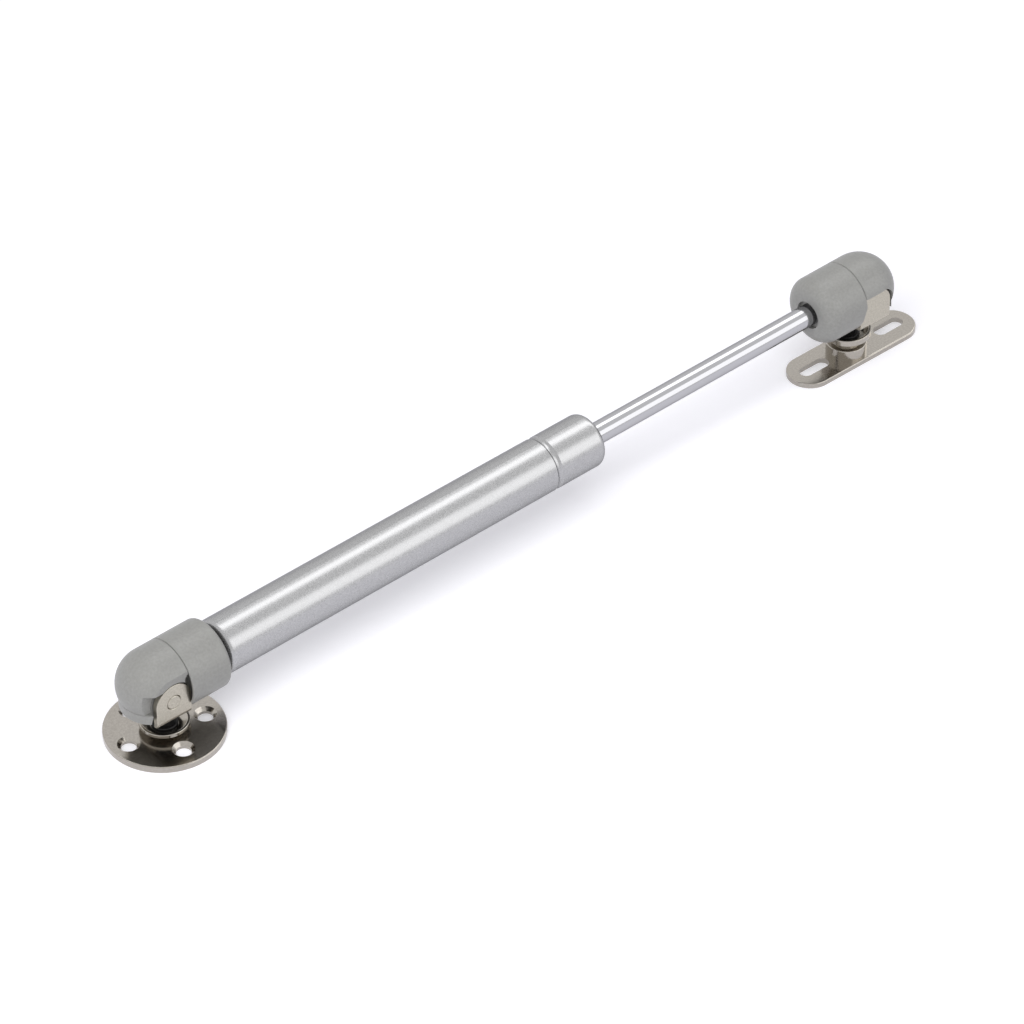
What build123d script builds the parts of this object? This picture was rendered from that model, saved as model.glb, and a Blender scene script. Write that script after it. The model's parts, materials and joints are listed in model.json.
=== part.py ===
from build123d import *
import math
import os

# Gas spring stay with a swivelling, tilting foot at each end, in millimetres.
# The origin lies on the surface that both feet stand on, under the round foot's swivel.
# +X runs from the barrel end to the rod end and +Z points up, away from the feet.

# Overall lengths, with the rod fully out
pin_to_pin = 238.0
stroke = 70.0
rod_left_showing = 7.5

# Feet
foot_edge_round = 0.35
round_plate_radius = 15.6
round_plate_thickness = 1.7
round_plate_pin_height = 15.6
oval_plate_length = 43.4
oval_plate_width = 12.8
oval_plate_thickness = 1.5
oval_plate_pin_height = 18.8

# Screw holes of the round plate: one near hole on the line of symmetry, and two pairs
screw_hole_radius = 2.0
screw_sink_radius = 2.9
screw_line_angle = -99.8
near_hole_distance = 9.95
paired_hole_distance = 10.85
paired_hole_angles = (83.5, 155.0)

# Screw slots of the oval plate, whose middle lies past its swivel
slot_spacing = 27.5
slot_length = 9.7
slot_width = 3.9
oval_plate_shift = 1.9

# Swivels, which stand nearer the strut than the hinge pins by these offsets
round_swivel_offset = 2.0
oval_swivel_offset = 3.2
rivet_radius = 1.5
rivet_head_radius = 2.4
rivet_head_height = 0.6
rivet_sink_radius = 2.9
rivet_sink_depth = 0.9
bush_stem_radius = 2.7
bush_flange_radius = 3.5
bush_flange_height = 1.2
cup_wall = 0.7
round_cup_radius = 6.5
round_cup_top = 4.2
round_cup_lip = 0.95
oval_cup_radius = 6.6
oval_cup_top = 9.2
oval_cup_depth = 2.4
neck_foot_radius = 5.6
neck_foot_height = 3.4
neck_waist_radius = 3.7

# Yokes, bent from sheet steel: the ears are round about the hinge pin
yoke_sheet = 1.5
yoke_half_width = 7.5
yoke_ear_radius = 5.35
yoke_ear_drop = 6.2
yoke_outer_bend = 1.5
yoke_inner_bend = 0.6
yoke_edge_round = 0.2
strip_behind_pin = 1.0
strip_past_swivel = 2.0

# Hinge pins, peened over in one ear and seated in a blind hole of the other
pin_radius = 2.0
pin_seat_depth = 0.9
pin_proud = 0.12
pin_rim_round = 0.35
pin_hole_break = 0.12

# Heads, measured from the strut's own axis and from the pin
head_radius = 9.5
pin_below_axis = 2.0
dome_behind_pin = 0.65
seam_from_pin = 4.8
barrel_head_reach = 17.2
rod_head_reach = 18.0
barrel_head_round = 1.4
rod_head_round = 4.0
tilt_down = 5.0
tilt_up = 10.0

# Inside of the heads: a core under the cap, a boss for the pin, and a thin skirt below the cap
core_half_width = 4.4
core_radius = 8.1
core_root = 0.8
boss_half_width = 5.5
boss_radius = 5.7
skirt_radius = 8.9
skirt_wall = 0.5
skirt_below_axis = 6.1

# Caps: one flank is flat about the pin's peened end, the other covers the top of its ear
cap_rim_below_axis = 3.3
flank_half_width = 7.65
facet_top_above_axis = 2.85
plain_window_above_axis = 3.2
wedge_width = 1.1
wedge_low_above_axis = 3.6
wedge_high_above_axis = 4.9
collar_recess_wall = 0.6
collar_recess_depth = 2.0

# Barrel
tube_radius = 7.5
tube_wall = 1.0
tube_end_gap = 1.1
tube_shut_end = 2.0
tube_shut_round = 1.6
tube_mouth_round = 2.2
groove_from_mouth = 16.1
groove_depth = 0.55
groove_radius = 1.1

# Stud that screws the barrel to its head
stud_radius = 3.0
stud_length = 10.0
stud_flange_radius = 4.6
stud_recess_depth = 1.0

# Rod and its end fastening
rod_radius = 3.0
rod_tail_radius = 2.5
rod_tail_length = 9.0
rod_recess_radius = 4.0
rod_recess_depth = 1.2

# Guide and seal, between the groove and the rolled mouth
backing_ring_length = 1.2
seal_length = 3.8
seal_lip_depth = 1.6
seal_lip_width = 0.8

# Piston, which stops against the groove with the rod out
piston_length = 6.0
piston_ring_width = 1.9
piston_ring_depth = 1.5
piston_washer_radius = 5.0
piston_washer_length = 0.8
spigot_radius = 2.0
nut_across_flats = 7.0
nut_length = 3.0

# Clearances
running_gap = 0.05
seat_gap = 0.1
piston_side_gap = 0.3
tilt_gap = 0.2
ear_gap = 0.45
seam_bevel = 0.2
edge_break = 0.3
tilt_spare = 3.0

# Places worked out from the sizes above
strut_rise = oval_plate_pin_height - round_plate_pin_height
slope = math.asin(strut_rise / pin_to_pin)
foot_to_foot = pin_to_pin * math.cos(slope) - round_swivel_offset - oval_swivel_offset
oval_plate_middle = foot_to_foot + oval_plate_shift
along = Vector(math.cos(slope), 0, math.sin(slope))
strut_up = Vector(-math.sin(slope), 0, math.cos(slope))
barrel_pin = Vector(-round_swivel_offset, 0, round_plate_pin_height)
strut_axis = Axis(barrel_pin + strut_up * pin_below_axis, along)
barrel_frame = Plane(origin=strut_axis.position, x_dir=along, z_dir=(0, -1, 0))
rod_frame = Plane(origin=strut_axis.position + along * pin_to_pin, x_dir=-along, z_dir=(0, 1, 0))

yoke_base_drop = yoke_ear_drop - yoke_sheet
yoke_inside = yoke_half_width - yoke_sheet
pin_seat = yoke_inside + pin_seat_depth
rivet_hole_radius = rivet_radius + running_gap
tube_start = barrel_head_reach + tube_end_gap
tube_end = pin_to_pin - rod_head_reach - stroke - rod_left_showing
tube_bore = tube_radius - tube_wall
packing_radius = tube_bore - running_gap
groove_place = tube_end - groove_from_mouth
backing_ring_start = groove_place + groove_radius
seal_start = backing_ring_start + backing_ring_length
guide_start = seal_start + seal_length
guide_end = tube_end - tube_wall - seat_gap
piston_front = groove_place - groove_radius - seat_gap
piston_back = piston_front - piston_length
washer_back = piston_back - piston_washer_length
nut_back = washer_back - nut_length
rod_shoulder = pin_to_pin - rod_head_reach + rod_recess_depth - seat_gap


def save(piece, name):
    """Label a finished piece and write its file."""
    piece.part.label = name
    export_step(piece.part, f"parts/{name}.step")


def turned_on_strut(points):
    """A solid of revolution about the strut: (distance from the barrel's pin, radius) points."""
    with BuildPart() as solid:
        with BuildSketch(barrel_frame):
            with BuildLine():
                Polyline(*points, close=True)
            make_face()
        revolve(axis=strut_axis)
    return solid


def turned_on_swivel(x, points, rounded, radius):
    """A solid of revolution about a foot's swivel: (radius, height) points, some of them rounded."""
    with BuildPart() as solid:
        with BuildSketch(Plane.XZ) as outline:
            with BuildLine():
                Polyline(*[(x + across, height) for across, height in points], close=True)
            make_face()
            for across, height in rounded:
                fillet(outline.vertices().sort_by_distance((x + across, height, 0))[0], radius)
        revolve(axis=Axis((x, 0, 0), (0, 0, 1)))
    return solid


def rivet_seat(x, thickness):
    """The rivet's hole through a foot, with the countersink below that takes its lower head."""
    wide = rivet_sink_radius + running_gap
    narrow = wide - rivet_sink_depth
    points = [(0, 0), (wide, 0), (narrow, rivet_sink_depth), (narrow, thickness), (0, thickness)]
    return turned_on_swivel(x, points, [], 0)


def screw_hole(spot):
    """A countersunk screw hole of the round plate."""
    sink_floor = round_plate_thickness - (screw_sink_radius - screw_hole_radius)
    with BuildPart() as hole:
        with BuildSketch(Plane.XZ):
            with BuildLine():
                shank = [(0, 0), (screw_hole_radius, 0), (screw_hole_radius, sink_floor)]
                sink = [(screw_sink_radius, round_plate_thickness), (0, round_plate_thickness)]
                Polyline(*shank, *sink, close=True)
            make_face()
        revolve(axis=Axis.Z)
    return hole.part.moved(Location(spot))


def round_plate():
    """The round foot: a disc with five countersunk screw holes and the rivet's seat."""
    places = [(near_hole_distance, 0.0)]
    places += [(paired_hole_distance, side * angle) for angle in paired_hole_angles for side in (1, -1)]
    with BuildPart() as plate:
        Cylinder(round_plate_radius, round_plate_thickness, align=(Align.CENTER, Align.CENTER, Align.MIN))
        fillet(plate.edges().group_by(Axis.Z)[-1], foot_edge_round)
        for distance, angle in places:
            turn = math.radians(screw_line_angle + angle)
            spot = (distance * math.cos(turn), distance * math.sin(turn), 0)
            add(screw_hole(spot), mode=Mode.SUBTRACT)
        add(rivet_seat(0, round_plate_thickness).part, mode=Mode.SUBTRACT)
    return plate


def oval_plate():
    """The oval foot: a plate with round ends and two slots along its length."""
    with BuildPart() as plate:
        with BuildSketch():
            with Locations((oval_plate_middle, 0)):
                SlotOverall(oval_plate_length, oval_plate_width)
        extrude(amount=oval_plate_thickness)
        fillet(plate.edges().group_by(Axis.Z)[-1], foot_edge_round)
        with BuildSketch():
            with Locations((oval_plate_middle, 0)):
                with GridLocations(slot_spacing, 0, 2, 1):
                    SlotOverall(slot_length, slot_width)
        extrude(amount=oval_plate_thickness, mode=Mode.SUBTRACT)
        add(rivet_seat(foot_to_foot, oval_plate_thickness).part, mode=Mode.SUBTRACT)
    return plate


def round_cup():
    """The flared cup on the round plate: narrow below, with an upright lip."""
    floor = round_plate_thickness
    base_radius = bush_flange_radius + seat_gap
    points = [
        (rivet_hole_radius, floor),
        (base_radius, floor),
        (round_cup_radius, round_cup_top - round_cup_lip),
        (round_cup_radius, round_cup_top),
        (round_cup_radius - cup_wall, round_cup_top),
        (base_radius, floor + cup_wall),
        (rivet_hole_radius, floor + cup_wall),
    ]
    return turned_on_swivel(0, points, points[3:5], cup_wall / 3)


def oval_neck():
    """The spool on the oval plate: a wide foot, a narrow waist and a flared cup at the top."""
    floor = oval_plate_thickness
    foot_top = floor + neck_foot_height
    dish = oval_cup_top - oval_cup_depth
    points = [
        (rivet_hole_radius, floor),
        (neck_foot_radius, floor),
        (neck_foot_radius, foot_top),
        (neck_waist_radius, foot_top),
        (neck_waist_radius, dish - 2 * cup_wall),
        (oval_cup_radius, dish + cup_wall),
        (oval_cup_radius, oval_cup_top),
        (oval_cup_radius - cup_wall, oval_cup_top),
        (oval_cup_radius - 3 * cup_wall, dish),
        (rivet_hole_radius, dish),
    ]
    return turned_on_swivel(foot_to_foot, points, [points[2], points[6], points[7]], cup_wall / 3)


def swivel_bush(x, bottom, pin_height):
    """The flanged bush that stands in a cup and carries the yoke."""
    top = pin_height - yoke_ear_drop - seat_gap
    flange_top = bottom + bush_flange_height
    points = [
        (rivet_hole_radius, bottom),
        (bush_flange_radius, bottom),
        (bush_flange_radius, flange_top),
        (bush_stem_radius, flange_top),
        (bush_stem_radius, top),
        (rivet_hole_radius, top),
    ]
    return turned_on_swivel(x, points, [points[2]], edge_break)


def swivel_rivet(x, pin_height):
    """The rivet that the yoke turns on, with a countersunk head below and a low head above."""
    collar = pin_height - yoke_base_drop + seat_gap
    top = collar + rivet_head_height
    points = [
        (0, 0),
        (rivet_sink_radius, 0),
        (rivet_radius, rivet_sink_radius - rivet_radius),
        (rivet_radius, collar),
        (rivet_head_radius, collar),
        (rivet_head_radius, top),
        (0, top),
    ]
    return turned_on_swivel(x, points, [points[5]], edge_break)


def yoke(x, facing, offset, pin_height):
    """Two round-topped ears on a narrow strip that turns on the rivet."""
    base_bottom = pin_height - yoke_ear_drop
    base_top = base_bottom + yoke_sheet
    pin_x = x - facing * offset
    side = Plane(origin=(pin_x, 0, pin_height), x_dir=(facing, 0, 0), z_dir=(0, -facing, 0))
    with BuildPart() as piece:
        with BuildSketch(side):
            Circle(yoke_ear_radius)
            Rectangle(2 * yoke_ear_radius, yoke_ear_drop, align=(Align.CENTER, Align.MAX))
        extrude(amount=yoke_half_width, both=True)
        fillet(piece.edges().filter_by(Axis.X).group_by(Axis.Z)[0], yoke_outer_bend)
        faces = piece.faces().filter_by(Axis.Y)
        rims = faces.sort_by(Axis.Y)[0].edges() + faces.sort_by(Axis.Y)[-1].edges()
        fillet(rims.filter_by(Axis.X, reverse=True), yoke_edge_round)
        with BuildSketch(Plane.XY.offset(base_bottom)):
            with Locations((pin_x, 0)):
                Rectangle(4 * yoke_ear_radius, 2 * yoke_inside)
        extrude(amount=yoke_ear_drop + yoke_ear_radius, mode=Mode.SUBTRACT)
        with BuildSketch(side):
            with Locations((-strip_behind_pin, -yoke_ear_drop)):
                strip_length = strip_behind_pin + offset + strip_past_swivel
                Rectangle(strip_length, yoke_sheet, align=(Align.MIN, Align.MIN))
        extrude(amount=yoke_inside, both=True)
        corners = piece.edges().filter_by(Axis.X)
        fillet(corners.filter_by_position(Axis.Z, base_top - seat_gap, base_top + seat_gap), yoke_inner_bend)
        with BuildSketch(side.offset(-pin_seat)):
            Circle(pin_radius + running_gap)
        extrude(amount=pin_seat + yoke_half_width, mode=Mode.SUBTRACT)
        holes = piece.edges().filter_by(GeomType.CIRCLE)
        holes = holes.filter_by(lambda edge: edge.radius < pin_radius + 2 * running_gap)
        chamfer(holes.sort_by(Axis(side.origin, side.z_dir))[-1], pin_hole_break)
        with BuildSketch(Plane.XY.offset(base_bottom)):
            with Locations((x, 0)):
                Circle(rivet_hole_radius)
        extrude(amount=yoke_sheet, mode=Mode.SUBTRACT)
    return piece


def hinge_pin(x, facing, offset, pin_height):
    """The pin across the two ears, peened over at the end that shows."""
    place = Plane(origin=(x - facing * offset, 0, pin_height), x_dir=(facing, 0, 0), z_dir=(0, -facing, 0))
    start = pin_seat - seat_gap
    with BuildPart() as pin:
        with BuildSketch(place.offset(-start)):
            Circle(pin_radius)
        extrude(amount=start + yoke_half_width + pin_proud)
        rims = pin.edges().filter_by(GeomType.CIRCLE)
        fillet(rims.sort_by(Axis(place.origin, place.z_dir))[-1], pin_rim_round)
    return pin


def core_blank(frame, grow):
    """What the cap fits over: a narrow core with a round back, and the boss that the pin goes through."""
    centre = frame.origin - frame.x_dir * dome_behind_pin
    level = Plane(origin=centre, x_dir=frame.x_dir, z_dir=frame.y_dir)
    radius = core_radius + grow
    reach = dome_behind_pin + seam_from_pin + core_root
    with BuildPart(level) as blank:
        Sphere(radius)
        Cylinder(radius, skirt_below_axis, align=(Align.CENTER, Align.CENTER, Align.MAX))
        Cylinder(radius, reach, rotation=(0, 90, 0), align=(Align.CENTER, Align.CENTER, Align.MIN))
        with Locations((-radius, 0, -skirt_below_axis)):
            low = (Align.MIN, Align.CENTER, Align.MIN)
            width = 2 * (core_half_width + grow)
            Box(radius + reach, width, skirt_below_axis + radius, align=low, mode=Mode.INTERSECT)
        with BuildSketch(frame):
            with Locations((0, -pin_below_axis)):
                Circle(boss_radius + grow)
        extrude(amount=boss_half_width + grow, both=True)
    return blank


def skirt(frame):
    """The round skirt below the cap's rim: solid between the ears, and a thin wall beside them."""
    low = frame.origin - frame.x_dir * dome_behind_pin - frame.y_dir * skirt_below_axis
    height = skirt_below_axis - cap_rim_below_axis - seat_gap
    with BuildPart() as wall:
        with BuildSketch(Plane(origin=low, x_dir=frame.x_dir, z_dir=frame.y_dir)):
            Circle(skirt_radius)
            Circle(skirt_radius - skirt_wall, mode=Mode.SUBTRACT)
            with BuildSketch(mode=Mode.PRIVATE) as middle:
                Circle(skirt_radius)
                Rectangle(2 * skirt_radius, 2 * boss_half_width, mode=Mode.INTERSECT)
            add(middle.sketch)
        extrude(amount=height)
        for side in (1, -1):
            room = ear_room(frame.offset(side * boss_half_width))
            extrude(room, amount=side * head_radius, mode=Mode.SUBTRACT)
    return wall


def ear_room(frame):
    """The side view of the room that the ears need over the whole tilt."""
    room = yoke_ear_radius + ear_gap
    down = math.radians(tilt_down)
    up = math.radians(tilt_up)
    long = 2 * head_radius
    pin_level = -pin_below_axis
    front = (room * math.cos(down), pin_level + room * math.sin(down))
    back = (-room * math.cos(up), pin_level + room * math.sin(up))
    low_front = (front[0] + long * math.sin(down), front[1] - long * math.cos(down))
    low_back = (back[0] - long * math.sin(up), back[1] - long * math.cos(up))
    with BuildSketch(frame) as room_sketch:
        with Locations((0, pin_level)):
            Circle(room)
        with BuildLine():
            Polyline(back, low_back, low_front, front, close=True)
        make_face()
    return room_sketch.sketch


def strip_room(frame, offset):
    """The side view of the room under the pin for the yoke's strip and the rivet's head."""
    rivet_head_drop = yoke_base_drop - seat_gap - rivet_head_height
    tip_angle = math.atan2(strip_behind_pin, yoke_base_drop)
    strut_angle = math.atan2(offset + rivet_head_radius, rivet_head_drop)
    tip_angle += math.radians(tilt_up + tilt_spare)
    strut_angle += math.radians(tilt_down + tilt_spare)
    reach = math.hypot(offset + strip_past_swivel, yoke_ear_drop) + ear_gap
    far = 2 * reach
    pin_level = -pin_below_axis
    with BuildSketch(frame) as room_sketch:
        with Locations((0, pin_level)):
            Circle(reach)
            Circle(rivet_head_drop - tilt_gap, mode=Mode.SUBTRACT)
        with BuildLine():
            tip = (-far * math.sin(tip_angle), pin_level - far * math.cos(tip_angle))
            strut = (far * math.sin(strut_angle), pin_level - far * math.cos(strut_angle))
            Polyline((0, pin_level), tip, strut, close=True)
        make_face(mode=Mode.INTERSECT)
    return room_sketch.sketch


def bush_room(frame, offset):
    """The side view of the room under the collar for the bush below the yoke."""
    down = math.radians(tilt_down)
    lowest = head_radius - pin_below_axis
    reach = (offset + bush_stem_radius + ear_gap + lowest * math.sin(down)) / math.cos(down)
    with BuildSketch(frame) as room_sketch:
        with Locations((reach, -skirt_below_axis)):
            Rectangle(4 * head_radius, head_radius, align=(Align.MAX, Align.MAX))
    return room_sketch.sketch


def collar_recess(frame):
    """The recess in the collar's face beside the peened end of the pin, with a thin rim left outside."""
    seam = frame.origin + frame.x_dir * seam_from_pin
    face = Plane(origin=seam, x_dir=frame.z_dir, z_dir=frame.x_dir)
    with BuildPart() as recess:
        with BuildSketch(face):
            Circle(head_radius - collar_recess_wall)
            with Locations((boss_half_width, -wedge_high_above_axis)):
                Rectangle(head_radius, 2 * head_radius, align=(Align.MIN, Align.MIN), mode=Mode.INTERSECT)
        extrude(amount=collar_recess_depth)
    return recess


def head(frame, reach, offset, end_round, bore_radius, bore_depth, recess_radius, recess_depth):
    """The moulded head: a round collar on the strut's end, and the core, boss and skirt behind it."""
    middle = boss_half_width + ear_gap
    slot_width = yoke_half_width + ear_gap - boss_half_width
    bore_floor = reach - bore_depth
    recess_floor = reach - recess_depth
    core = core_blank(frame, 0).part
    lower = skirt(frame).part
    pocket = collar_recess(frame).part
    with BuildPart() as body:
        with BuildSketch(frame) as collar:
            with Locations((seam_from_pin, 0)):
                length = reach - seam_from_pin
                Rectangle(length, head_radius, align=(Align.MIN, Align.MIN))
            outer = collar.vertices().group_by(Axis.Y)[-1].sort_by(Axis.X)
            chamfer(outer[0], seam_bevel)
            fillet(collar.vertices().sort_by_distance((reach, head_radius, 0))[0], end_round)
        revolve(axis=Axis(frame.origin, frame.x_dir))
        add(core)
        add(lower)
        extrude(bush_room(frame, offset), amount=middle, both=True, mode=Mode.SUBTRACT)
        extrude(strip_room(frame, offset), amount=middle, both=True, mode=Mode.SUBTRACT)
        extrude(ear_room(frame.offset(boss_half_width)), amount=slot_width, mode=Mode.SUBTRACT)
        extrude(ear_room(frame.offset(-boss_half_width)), amount=-head_radius, mode=Mode.SUBTRACT)
        add(pocket, mode=Mode.SUBTRACT)
        with BuildSketch(frame):
            with Locations((0, -pin_below_axis)):
                Circle(pin_radius + running_gap)
        extrude(amount=head_radius, both=True, mode=Mode.SUBTRACT)
        with BuildSketch(frame):
            with BuildLine():
                bore = [(bore_floor, 0), (bore_floor, bore_radius), (recess_floor, bore_radius)]
                mouth = [(recess_floor, recess_radius), (reach, recess_radius), (reach, 0)]
                Polyline(*bore, *mouth, close=True)
            make_face()
        revolve(axis=Axis(frame.origin, frame.x_dir), mode=Mode.SUBTRACT)
    return body


def wedge(frame):
    """The side view of the slot between the cap and the collar beside the peened end of the pin."""
    seam = seam_from_pin
    back = seam - wedge_width
    with BuildSketch(frame) as slot:
        with BuildLine():
            left = [(back, -head_radius), (back, wedge_low_above_axis), (seam, wedge_high_above_axis)]
            right = [(seam + wedge_width, wedge_high_above_axis), (seam + wedge_width, -head_radius)]
            Polyline(*left, *right, close=True)
        make_face()
    return slot.sketch


def plain_window(frame):
    """The side view of the window over the ear with the blind hole: straight along the top."""
    with BuildSketch(frame) as window:
        add(ear_room(Plane.XY))
        Rectangle(2 * head_radius, 4 * head_radius, align=(Align.MIN, Align.CENTER))
        with Locations((0, plain_window_above_axis)):
            Rectangle(4 * head_radius, 2 * head_radius, align=(Align.CENTER, Align.MAX), mode=Mode.INTERSECT)
    return window.sketch


def dome_cap(frame):
    """The domed cover that snaps over the core, open below and at the ears."""
    back = -dome_behind_pin
    seam = seam_from_pin - seat_gap
    slot_width = yoke_half_width + ear_gap - boss_half_width
    core = core_blank(frame, seat_gap).part
    with BuildPart() as cap:
        with BuildSketch(frame) as profile:
            with BuildLine():
                CenterArc((back, 0), head_radius, 90, 90)
                Polyline((back, head_radius), (seam, head_radius), (seam, 0), (back - head_radius, 0))
            make_face()
            chamfer(profile.vertices().sort_by_distance((seam, head_radius, 0))[0], seam_bevel)
        revolve(axis=Axis(frame.origin, frame.x_dir))
        with BuildSketch(frame):
            with Locations((0, -cap_rim_below_axis)):
                Rectangle(4 * head_radius, head_radius, align=(Align.CENTER, Align.MAX))
        extrude(amount=head_radius, both=True, mode=Mode.SUBTRACT)
        with BuildSketch(frame.offset(flank_half_width)):
            Rectangle(4 * head_radius, 4 * head_radius)
        extrude(amount=head_radius, mode=Mode.SUBTRACT)
        with BuildSketch(frame.offset(boss_half_width)):
            with Locations((0, facet_top_above_axis)):
                Rectangle(2 * head_radius, 2 * head_radius, align=(Align.MAX, Align.MAX))
        extrude(amount=head_radius, mode=Mode.SUBTRACT)
        add(core, mode=Mode.SUBTRACT)
        extrude(ear_room(frame.offset(boss_half_width)), amount=head_radius, mode=Mode.SUBTRACT)
        extrude(wedge(frame.offset(boss_half_width)), amount=head_radius, mode=Mode.SUBTRACT)
        extrude(ear_room(frame.offset(-boss_half_width)), amount=-slot_width, mode=Mode.SUBTRACT)
        extrude(plain_window(frame.offset(-boss_half_width)), amount=-head_radius, mode=Mode.SUBTRACT)
    return cap


def cylinder_tube():
    """The barrel: shut and rounded at the head, with a rolled groove and a rolled-in mouth."""
    lip_radius = rod_radius + tube_wall
    shut = tube_start + tube_shut_end
    lip = tube_end - tube_wall
    groove_centre = tube_radius - groove_depth + groove_radius
    with BuildPart() as tube:
        with BuildSketch(barrel_frame) as profile:
            with BuildLine():
                outside = [(tube_start, 0), (tube_start, tube_radius), (tube_end, tube_radius)]
                inside = [(tube_end, lip_radius), (lip, lip_radius), (lip, tube_bore), (shut, tube_bore)]
                Polyline(*outside, *inside, (shut, 0), close=True)
            make_face()
            corners = profile.vertices()
            fillet(corners.sort_by_distance((tube_start, tube_radius, 0))[0], tube_shut_round)
            corners = profile.vertices()
            fillet(corners.sort_by_distance((tube_end, tube_radius, 0))[0], tube_mouth_round)
            corners = profile.vertices()
            fillet(corners.sort_by_distance((lip, tube_bore, 0))[0], tube_mouth_round - tube_wall)
            with Locations((groove_place, groove_centre - tube_wall)):
                Circle(groove_radius)
            with Locations((groove_place, tube_radius)):
                Rectangle(3 * groove_radius, tube_radius, align=(Align.CENTER, Align.MIN), mode=Mode.SUBTRACT)
            with Locations((groove_place, groove_centre)):
                Circle(groove_radius, mode=Mode.SUBTRACT)
        revolve(axis=strut_axis)
    return tube


def barrel_stud():
    """The stud on the barrel's shut end, with a flange against the head."""
    flange_start = barrel_head_reach - stud_recess_depth + seat_gap
    points = [
        (tube_start - stud_length, 0),
        (tube_start - stud_length, stud_radius),
        (flange_start, stud_radius),
        (flange_start, stud_flange_radius),
        (tube_start, stud_flange_radius),
        (tube_start, 0),
    ]
    return turned_on_strut(points)


def packing_ring(start, end):
    """A plain ring between the rod and the barrel's bore."""
    inner = rod_radius + running_gap
    return turned_on_strut([(start, inner), (start, packing_radius), (end, packing_radius), (end, inner)])


def rod_seal():
    """The seal, with a lip on the rod and one on the bore, open towards the gas."""
    inner = rod_radius + running_gap
    points = [
        (seal_start, inner),
        (seal_start, inner + seal_lip_width),
        (seal_start + seal_lip_depth, (inner + packing_radius) / 2),
        (seal_start, packing_radius - seal_lip_width),
        (seal_start, packing_radius),
        (guide_start, packing_radius),
        (guide_start, inner),
    ]
    return turned_on_strut(points)


def rod_guide():
    """The guide bush behind the rolled mouth, with one rim shaped to the mouth."""
    inner = rod_radius + running_gap
    with BuildPart() as guide:
        with BuildSketch(barrel_frame) as profile:
            with BuildLine():
                back = [(guide_start, inner), (guide_start, packing_radius)]
                Polyline(*back, (guide_end, packing_radius), (guide_end, inner), close=True)
            make_face()
            rim = profile.vertices().sort_by_distance((guide_end, packing_radius, 0))[0]
            fillet(rim, tube_mouth_round - tube_wall)
        revolve(axis=strut_axis)
    return guide


def piston():
    """The piston, with a groove for its ring."""
    outer = tube_bore - piston_side_gap
    inner = spigot_radius + running_gap
    middle = (piston_front + piston_back) / 2
    half = piston_ring_width / 2 + running_gap
    points = [
        (piston_back, inner),
        (piston_back, outer),
        (middle - half, outer),
        (middle - half, outer - piston_ring_depth),
        (middle + half, outer - piston_ring_depth),
        (middle + half, outer),
        (piston_front, outer),
        (piston_front, inner),
    ]
    return turned_on_strut(points)


def piston_ring():
    """The ring that slides in the barrel and lets the rod turn inside it."""
    inner = tube_bore - piston_side_gap - piston_ring_depth + running_gap
    start = (piston_front + piston_back - piston_ring_width) / 2
    end = start + piston_ring_width
    return turned_on_strut([(start, inner), (start, packing_radius), (end, packing_radius), (end, inner)])


def piston_washer():
    """The washer between the piston and its nut."""
    inner = spigot_radius + running_gap
    outer = piston_washer_radius
    back = [(washer_back, inner), (washer_back, outer)]
    return turned_on_strut([*back, (piston_back, outer), (piston_back, inner)])


def piston_nut():
    """The nut on the rod's spigot."""
    back = Plane(origin=strut_axis.position + along * nut_back, x_dir=(0, 1, 0), z_dir=along)
    with BuildPart() as nut:
        with BuildSketch(back):
            RegularPolygon(nut_across_flats / 2, 6, major_radius=False)
            Circle(spigot_radius + running_gap, mode=Mode.SUBTRACT)
        extrude(amount=nut_length)
        chamfer(nut.faces().filter_by(GeomType.CYLINDER).edges(), edge_break)
    return nut


def piston_rod():
    """The rod, stepped down for the piston at one end and for the rod's head at the other."""
    points = [
        (nut_back, 0),
        (nut_back, spigot_radius),
        (piston_front, spigot_radius),
        (piston_front, rod_radius),
        (rod_shoulder, rod_radius),
        (rod_shoulder, rod_tail_radius),
        (rod_shoulder + rod_tail_length, rod_tail_radius),
        (rod_shoulder + rod_tail_length, 0),
    ]
    return turned_on_strut(points)


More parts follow.
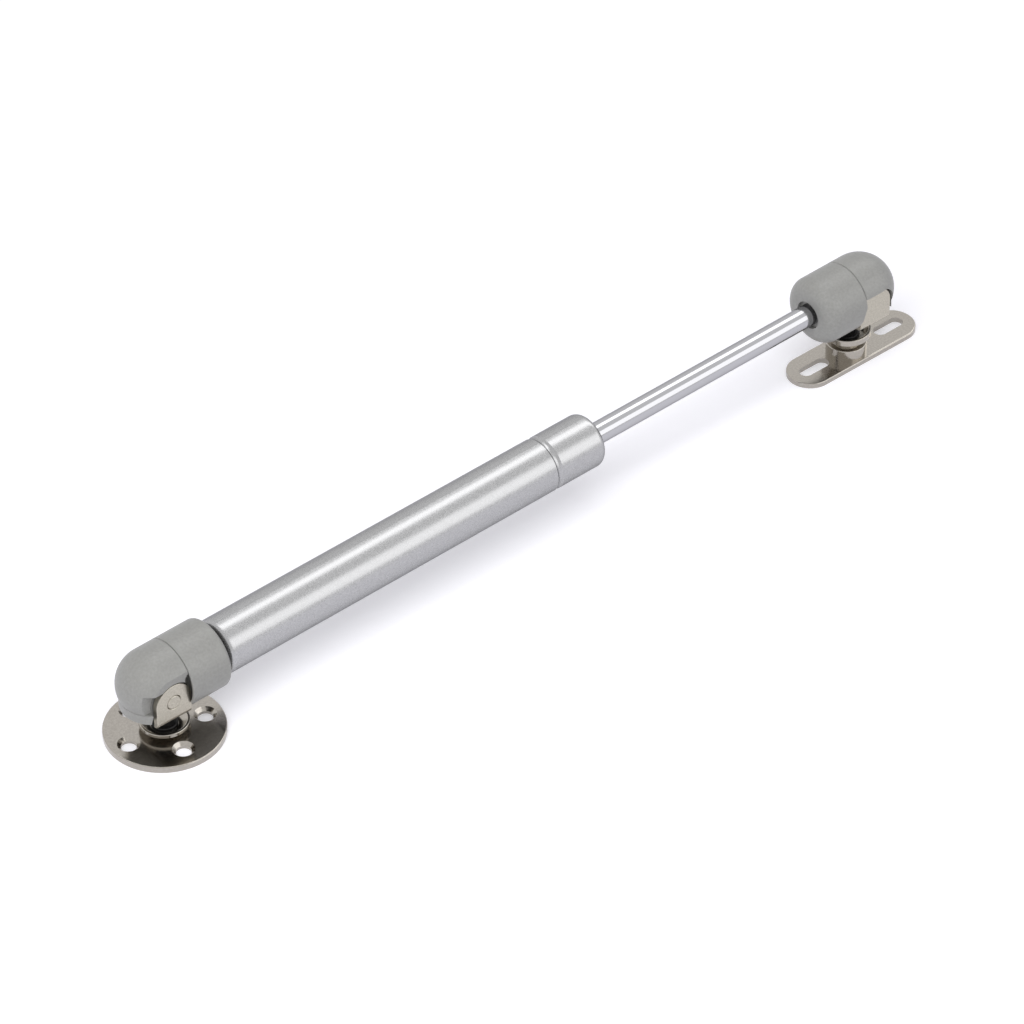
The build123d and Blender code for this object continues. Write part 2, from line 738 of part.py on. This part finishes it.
def main():
    """Build every piece and write it."""
    os.makedirs("parts", exist_ok=True)
    round_place = (0, 1, round_swivel_offset, round_plate_pin_height)
    oval_place = (foot_to_foot, -1, oval_swivel_offset, oval_plate_pin_height)
    round_cup_floor = round_plate_thickness + cup_wall
    oval_cup_floor = oval_cup_top - oval_cup_depth

    save(round_plate(), "round_base_plate")
    save(round_cup(), "round_swivel_cup")
    save(swivel_bush(0, round_cup_floor, round_plate_pin_height), "round_swivel_bush")
    save(swivel_rivet(0, round_plate_pin_height), "round_swivel_rivet")
    save(yoke(*round_place), "round_yoke")
    save(hinge_pin(*round_place), "round_hinge_pin")

    stud_hole = (stud_radius + running_gap, stud_length - tube_end_gap + seat_gap)
    stud_recess = (stud_flange_radius + seat_gap, stud_recess_depth)
    barrel_end = (barrel_frame, barrel_head_reach, round_swivel_offset, barrel_head_round)
    save(head(*barrel_end, *stud_hole, *stud_recess), "barrel_head")
    save(dome_cap(barrel_frame), "barrel_dome_cap")
    save(barrel_stud(), "barrel_stud")
    save(cylinder_tube(), "cylinder_tube")
    save(packing_ring(backing_ring_start, seal_start), "seal_backing_ring")
    save(rod_seal(), "rod_seal")
    save(rod_guide(), "rod_guide")

    save(piston_ring(), "piston_ring")
    save(piston(), "piston")
    save(piston_washer(), "piston_washer")
    save(piston_nut(), "piston_nut")
    save(piston_rod(), "piston_rod")
    tail_hole = (rod_tail_radius + running_gap, rod_recess_depth + rod_tail_length + seat_gap)
    rod_recess = (rod_recess_radius, rod_recess_depth)
    rod_end = (rod_frame, rod_head_reach, oval_swivel_offset, rod_head_round)
    save(head(*rod_end, *tail_hole, *rod_recess), "rod_head")
    save(dome_cap(rod_frame), "rod_dome_cap")

    save(hinge_pin(*oval_place), "oval_hinge_pin")
    save(yoke(*oval_place), "oval_yoke")
    save(swivel_bush(foot_to_foot, oval_cup_floor, oval_plate_pin_height), "oval_swivel_bush")
    save(oval_neck(), "oval_swivel_neck")
    save(swivel_rivet(foot_to_foot, oval_plate_pin_height), "oval_swivel_rivet")
    save(oval_plate(), "oval_base_plate")


main()
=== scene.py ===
import json
import math

import bmesh
import bpy
from mathutils import Matrix, Vector

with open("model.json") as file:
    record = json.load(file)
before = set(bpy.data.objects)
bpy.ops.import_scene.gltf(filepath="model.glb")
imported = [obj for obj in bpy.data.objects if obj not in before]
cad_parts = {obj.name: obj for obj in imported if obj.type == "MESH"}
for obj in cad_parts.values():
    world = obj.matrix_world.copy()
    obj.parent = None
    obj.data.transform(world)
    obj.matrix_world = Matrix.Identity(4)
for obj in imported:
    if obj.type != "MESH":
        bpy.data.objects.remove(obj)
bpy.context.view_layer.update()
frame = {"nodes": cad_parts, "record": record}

MM = 0.001

# The photograph's camera: its image size and focal length in pixels, its angles in degrees,
# and where the frame's origin falls in the image
IMAGE_SIZE = 1024
FOCAL_PIXELS = 5377.65
SENSOR_WIDTH = 36.0
CAMERA_DISTANCE = 1338.3 * MM
CAMERA_TURN = 40.265
CAMERA_LIFT = 39.39
CAMERA_ROLL = -0.588
ORIGIN_PIXEL = (165.05, 730.94)
NEAREST_SEEN = 0.05
FARTHEST_SEEN = 50.0

# The studio, in metres: each light's direction from the object, distance, size and brightness,
# and whether it lights matt surfaces and is mirrored in the metal
FLOOR_HALF = 6.0
STRUT_MIDDLE = Vector((118.0, 0.0, 15.0)) * MM
LIGHTS = {
    "top_softbox": {"towards": (-0.45, -0.28, 0.85), "away": 1.5, "size": (2.0, 1.0), "radiance": 2.0,
                    "matt": True, "mirrored": False},
    "back_strip": {"towards": (0.5, 0.22, 0.84), "away": 1.5, "size": (2.0, 0.6), "radiance": 1.35,
                   "matt": False, "mirrored": True},
    "front_softbox": {"towards": (0.5, -0.75, 0.43), "away": 1.6, "size": (2.0, 1.0), "radiance": 0.85,
                      "matt": False, "mirrored": True},
}
# Watts for each square metre of lamp that give its face a brightness of 1
LAMP_WATTS = 4.0
WORLD_TINT = "F9F8FD"
WORLD_FILL = 0.56
FLOOR_COLOUR = "F4F4F8"
FLOOR_LIFT = 0.24
WHITE = "FFFFFF"

# How far the barrel and the rod darken where the eye sees them edge on
EDGE_TINT = "BCBCBC"
NYLON_IOR = 1.53

# Most of a noise's values lie in the narrow spread, and the full one passes them on as they are
NARROW_SPREAD = {"From Min": 0.3, "From Max": 0.7}
FULL_SPREAD = {"From Min": 0.0, "From Max": 1.0}

# The worked metals, by how each was made: two shades, roughness, and the grain's width and depth in millimetres
WORKED_METALS = {
    "satin_nickel_plate": {"shades": ("A39E97", "AFAAA3"), "roughness": 0.16, "grain": 0.35, "depth": 0.005},
    "tumbled_nickel_plate": {"shades": ("A8A397", "BBB6AA"), "roughness": 0.3, "grain": 0.5, "depth": 0.04},
    "turned_nickel_plate": {"shades": ("A7A29A", "AFAAA2"), "roughness": 0.17, "grain": 0.15, "depth": 0.0012},
    "rivet_nickel_plate": {"shades": ("A39E95", "ADA89F"), "roughness": 0.24, "grain": 0.2, "depth": 0.004},
    "pin_nickel_plate": {"shades": ("A8A397", "B9B4A8"), "roughness": 0.28, "grain": 0.45, "depth": 0.03},
    "turned_alloy": {"shades": ("BDBEC1", "CBCCCF"), "roughness": 0.32, "grain": 0.2, "depth": 0.01},
}


def linear(hex_code):
    """An sRGB hex colour as the linear colour that a socket takes."""
    channels = [int(hex_code[place:place + 2], 16) / 255 for place in (0, 2, 4)]
    return [c / 12.92 if c <= 0.04045 else ((c + 0.055) / 1.055) ** 2.4 for c in channels] + [1.0]


def per_mm(size):
    """The texture scale that makes a pattern's grain this many millimetres wide."""
    return 1.0 / (size * MM)


def add_node(tree, kind, values=None, links=None, **settings):
    """Add a shader node with its settings, its fixed inputs and its linked inputs."""
    made = tree.nodes.new("ShaderNode" + kind)
    for name, value in settings.items():
        setattr(made, name, value)
    for name, value in (values or {}).items():
        made.inputs[name].default_value = value
    for name, source in (links or {}).items():
        tree.links.new(source, made.inputs[name])
    return made


def new_material(name):
    """An empty node material with its object coordinates."""
    material = bpy.data.materials.new(name)
    material.use_nodes = True
    tree = material.node_tree
    tree.nodes.clear()
    place = add_node(tree, "TexCoord").outputs["Object"]
    return material, tree, place


def finish_material(tree, shader, grain, strength, depth):
    """Raise the surface by its grain, to this depth in millimetres, and join it to the output."""
    values = {"Strength": strength, "Distance": depth * MM}
    raised = add_node(tree, "Bump", values, {"Height": grain.outputs["Fac"]})
    tree.links.new(raised.outputs["Normal"], shader.inputs["Normal"])
    add_node(tree, "OutputMaterial", links={"Surface": shader.outputs["BSDF"]})


def mottled(tree, place, size, shades, detail, spread):
    """A colour that wanders between two shades, in patches of this many millimetres."""
    patches = add_node(tree, "TexNoise", {"Scale": per_mm(size), "Detail": detail}, {"Vector": place})
    share = add_node(tree, "MapRange", spread, {"Value": patches.outputs["Fac"]})
    dark, light = shades
    ends = {6: linear(dark), 7: linear(light)}
    return add_node(tree, "Mix", ends, {0: share.outputs["Result"]}, data_type="RGBA").outputs[2]


def uneven_roughness(tree, place, size, low, high):
    """A roughness that wanders between two values, in patches of this many millimetres."""
    patches = add_node(tree, "TexNoise", {"Scale": per_mm(size)}, {"Vector": place})
    values = {**NARROW_SPREAD, "To Min": low, "To Max": high}
    return add_node(tree, "MapRange", values, {"Value": patches.outputs["Fac"]}).outputs["Result"]


def moulded_nylon():
    """Grey glass-filled nylon, injection moulded: matt, with a faint mottle from the glass.

    The spark-eroded mould leaves a finer grain than the picture can show, so it is drawn coarser."""
    material, tree, place = new_material("grey_moulded_nylon")
    colour = mottled(tree, place, 0.7, ("8E8E8A", "979793"), detail=3.0, spread=NARROW_SPREAD)
    roughness = uneven_roughness(tree, place, 0.5, low=0.38, high=0.46)
    links = {"Base Color": colour, "Roughness": roughness}
    shader = add_node(tree, "BsdfPrincipled", {"IOR": NYLON_IOR}, links)
    grain = add_node(tree, "TexNoise", {"Scale": per_mm(0.16)}, {"Vector": place})
    finish_material(tree, shader, grain, strength=0.3, depth=0.018)
    return material


def black_nylon():
    """Black moulded nylon of the swivel bushes: dark and half matt, with the mould's fine grain."""
    material, tree, place = new_material("black_moulded_nylon")
    colour = mottled(tree, place, 0.8, ("101010", "1C1B1A"), detail=2.0, spread=FULL_SPREAD)
    shader = add_node(tree, "BsdfPrincipled", {"IOR": NYLON_IOR, "Roughness": 0.45}, {"Base Color": colour})
    grain = add_node(tree, "TexNoise", {"Scale": per_mm(0.2)}, {"Vector": place})
    finish_material(tree, shader, grain, strength=0.2, depth=0.02)
    return material


def worked_metal(name):
    """Nickel plate over pressed or turned steel, or bare turned alloy: satin metal with a soft grain.

    The yokes and pins were tumbled, which dents them all over. The grain of each is finer than the
    picture can show, so it is drawn coarser."""
    metal = WORKED_METALS[name]
    material, tree, place = new_material(name)
    colour = mottled(tree, place, 0.5, metal["shades"], detail=3.0, spread=NARROW_SPREAD)
    middle = metal["roughness"]
    roughness = uneven_roughness(tree, place, 0.4, low=middle - 0.02, high=middle + 0.03)
    links = {"Base Color": colour, "Roughness": roughness}
    shader = add_node(tree, "BsdfPrincipled", {"Metallic": 1.0}, links)
    grain = add_node(tree, "TexNoise", {"Scale": per_mm(metal["grain"]), "Detail": 3.0}, {"Vector": place})
    finish_material(tree, shader, grain, strength=0.35, depth=metal["depth"])
    return material


def silver_lacquer():
    """Silver lacquer on the barrel: satin, with metal flakes that glint as a fine speckle.

    Real flakes are finer than the picture can show, so they are drawn coarser."""
    material, tree, place = new_material("silver_lacquer")
    flakes = add_node(tree, "TexVoronoi", {"Scale": per_mm(0.25)}, {"Vector": place}, feature="F1")
    level = add_node(tree, "SeparateColor", links={"Color": flakes.outputs["Color"]}).outputs["Red"]
    ends = {6: linear("A6A6A7"), 7: linear("B3B3B4")}
    colour = add_node(tree, "Mix", ends, {0: level}, data_type="RGBA").outputs[2]
    values = {"To Min": 0.25, "To Max": 0.33}
    roughness = add_node(tree, "MapRange", values, {"Value": level}).outputs["Result"]
    sheen = {"Metallic": 1.0, "Specular Tint": linear(EDGE_TINT)}
    shader = add_node(tree, "BsdfPrincipled", sheen, {"Base Color": colour, "Roughness": roughness})
    grain = add_node(tree, "TexNoise", {"Scale": per_mm(0.3)}, {"Vector": place})
    finish_material(tree, shader, grain, strength=0.2, depth=0.008)
    return material


def hard_chrome():
    """Hard chrome on the ground rod: mirror-like, with faint rings left by the grinding.

    Real grinding marks are finer than the picture can show, so they are drawn wider."""
    material, tree, place = new_material("hard_chrome")
    drawn_round = add_node(tree, "Mapping", {"Scale": (1.0, 0.02, 0.02)}, {"Vector": place})
    rings = add_node(tree, "TexNoise", {"Scale": per_mm(0.12)}, {"Vector": drawn_round.outputs["Vector"]})
    values = {**NARROW_SPREAD, "To Min": 0.07, "To Max": 0.13}
    roughness = add_node(tree, "MapRange", values, {"Value": rings.outputs["Fac"]}).outputs["Result"]
    sheen = {"Metallic": 1.0, "Base Color": linear("B5B5B8"), "Specular Tint": linear(EDGE_TINT)}
    shader = add_node(tree, "BsdfPrincipled", sheen, {"Roughness": roughness})
    finish_material(tree, shader, rings, strength=0.1, depth=0.002)
    return material


def dull_zinc():
    """Dull zinc plate on the stud and the inner steel pieces: grey metal that hardly mirrors."""
    material, tree, place = new_material("dull_zinc")
    colour = mottled(tree, place, 0.9, ("77777A", "8F8F92"), detail=2.0, spread=FULL_SPREAD)
    shader = add_node(tree, "BsdfPrincipled", {"Metallic": 1.0, "Roughness": 0.42}, {"Base Color": colour})
    grain = add_node(tree, "TexNoise", {"Scale": per_mm(0.2)}, {"Vector": place})
    finish_material(tree, shader, grain, strength=0.2, depth=0.01)
    return material


def moulded_inner(name, shades, roughness):
    """Moulded rubber or plastic of the sealed pieces: plain, with a soft grain."""
    material, tree, place = new_material(name)
    colour = mottled(tree, place, 0.6, shades, detail=2.0, spread=FULL_SPREAD)
    shader = add_node(tree, "BsdfPrincipled", {"Roughness": roughness}, {"Base Color": colour})
    grain = add_node(tree, "TexNoise", {"Scale": per_mm(0.15)}, {"Vector": place})
    finish_material(tree, shader, grain, strength=0.2, depth=0.01)
    return material


def dress_nodes():
    """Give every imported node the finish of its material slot."""
    zinc = dull_zinc()
    finishes = {
        "nickel_plate": worked_metal("satin_nickel_plate"),
        "nickel_yoke": worked_metal("tumbled_nickel_plate"),
        "nickel_cup": worked_metal("turned_nickel_plate"),
        "rivet_steel": worked_metal("rivet_nickel_plate"),
        "pin_steel": worked_metal("pin_nickel_plate"),
        "black_nylon": black_nylon(),
        "grey_nylon": moulded_nylon(),
        "stud_steel": zinc,
        "barrel_silver": silver_lacquer(),
        "inner_steel": zinc,
        "seal_rubber": moulded_inner("seal_rubber", ("141414", "1E1D1C"), 0.6),
        "guide_plastic": moulded_inner("guide_plastic", ("222222", "2B2B2B"), 0.5),
        "ring_plastic": moulded_inner("ring_plastic", ("D6D3C8", "E2DFD5"), 0.5),
        "piston_alloy": worked_metal("turned_alloy"),
        "rod_chrome": hard_chrome(),
    }
    for row in frame["record"]["subparts"]:
        packed = frame["nodes"][row["node"]]
        packed.data.materials.clear()
        packed.data.materials.append(finishes[row["material_slot"]])


def seen_or_mirrored(tree):
    """1 for the rays that show a surface: to the camera, in a mirror or through glass."""
    path = add_node(tree, "LightPath").outputs
    first_two = {0: path["Is Camera Ray"], 1: path["Is Glossy Ray"]}
    mirrored = add_node(tree, "Math", links=first_two, operation="MAXIMUM")
    all_three = {0: mirrored.outputs["Value"], 1: path["Is Transmission Ray"]}
    return add_node(tree, "Math", links=all_three, operation="MAXIMUM").outputs["Value"]


def add_floor():
    """A white floor that bounces light, and that the camera sees a little brighter."""
    plan = bmesh.new()
    bmesh.ops.create_grid(plan, x_segments=1, y_segments=1, size=FLOOR_HALF)
    mesh = bpy.data.meshes.new("studio_floor")
    plan.to_mesh(mesh)
    plan.free()
    floor = bpy.data.objects.new("studio_floor", mesh)
    bpy.context.scene.collection.objects.link(floor)
    material = bpy.data.materials.new("studio_floor")
    material.use_nodes = True
    tree = material.node_tree
    tree.nodes.clear()
    paper = add_node(tree, "BsdfDiffuse", {"Color": linear(FLOOR_COLOUR)})
    lift = add_node(tree, "Math", {1: FLOOR_LIFT}, {0: seen_or_mirrored(tree)}, operation="MULTIPLY")
    glow = add_node(tree, "Emission", {"Color": linear(WHITE)}, {"Strength": lift.outputs["Value"]})
    both = add_node(tree, "AddShader", links={0: paper.outputs["BSDF"], 1: glow.outputs["Emission"]})
    add_node(tree, "OutputMaterial", links={"Surface": both.outputs["Shader"]})
    mesh.materials.append(material)


def add_lights():
    """Soft boxes: one that lights the object, and two that only the metal and the plastic's sheen mirror."""
    for name, light in LIGHTS.items():
        lamp = bpy.data.lights.new(name, "AREA")
        lamp.shape = "RECTANGLE"
        lamp.size, lamp.size_y = light["size"]
        lamp.energy = LAMP_WATTS * lamp.size * lamp.size_y * light["radiance"]
        away = Vector(light["towards"]).normalized()
        holder = bpy.data.objects.new(name, lamp)
        across = Vector((1.0, 0.0, 0.0))
        across = (across - away * across.dot(away)).normalized()
        turn = Matrix((across, away.cross(across), away)).transposed()
        holder.matrix_world = Matrix.Translation(STRUT_MIDDLE + away * light["away"]) @ turn.to_4x4()
        holder.visible_camera = False
        holder.visible_diffuse = light["matt"]
        holder.visible_glossy = light["mirrored"]
        bpy.context.scene.collection.objects.link(holder)


def add_world():
    """A plain studio: white to the camera, in mirrors and through glass, and a soft fill elsewhere."""
    world = bpy.data.worlds.new("studio")
    bpy.context.scene.world = world
    world.use_nodes = True
    tree = world.node_tree
    tree.nodes.clear()
    seen = seen_or_mirrored(tree)
    fill = add_node(tree, "Background", {"Color": linear(WORLD_TINT), "Strength": WORLD_FILL})
    white = add_node(tree, "Background", {"Color": linear(WHITE), "Strength": 1.0})
    both = {0: seen, 1: fill.outputs["Background"], 2: white.outputs["Background"]}
    mixed = add_node(tree, "MixShader", links=both)
    add_node(tree, "OutputWorld", links={"Surface": mixed.outputs["Shader"]})


def add_camera():
    """The photograph's camera."""
    turn = math.radians(CAMERA_TURN)
    lift = math.radians(CAMERA_LIFT)
    roll = math.radians(CAMERA_ROLL)
    level_right = Vector((math.cos(turn), -math.sin(turn), 0.0))
    level_away = Vector((math.sin(turn), math.cos(turn), 0.0))
    up = Vector((0.0, 0.0, 1.0))
    view = level_away * math.cos(lift) - up * math.sin(lift)
    view_up = level_away * math.sin(lift) + up * math.cos(lift)
    right = level_right * math.cos(roll) + view_up * math.sin(roll)
    top = view_up * math.cos(roll) - level_right * math.sin(roll)
    across = (ORIGIN_PIXEL[0] - IMAGE_SIZE / 2) / FOCAL_PIXELS
    down = (ORIGIN_PIXEL[1] - IMAGE_SIZE / 2) / FOCAL_PIXELS
    position = (view + right * across - top * down) * -CAMERA_DISTANCE
    lens = bpy.data.cameras.new("photo_camera")
    lens.sensor_width = SENSOR_WIDTH
    lens.lens = FOCAL_PIXELS * SENSOR_WIDTH / IMAGE_SIZE
    lens.clip_start = NEAREST_SEEN
    lens.clip_end = FARTHEST_SEEN
    camera = bpy.data.objects.new("photo_camera", lens)
    camera.matrix_world = Matrix.Translation(position) @ Matrix((right, top, -view)).transposed().to_4x4()
    bpy.context.scene.collection.objects.link(camera)
    bpy.context.scene.camera = camera


add_camera()
add_world()
add_lights()
add_floor()
dress_nodes()
bpy.context.scene.view_settings.view_transform = "Standard"
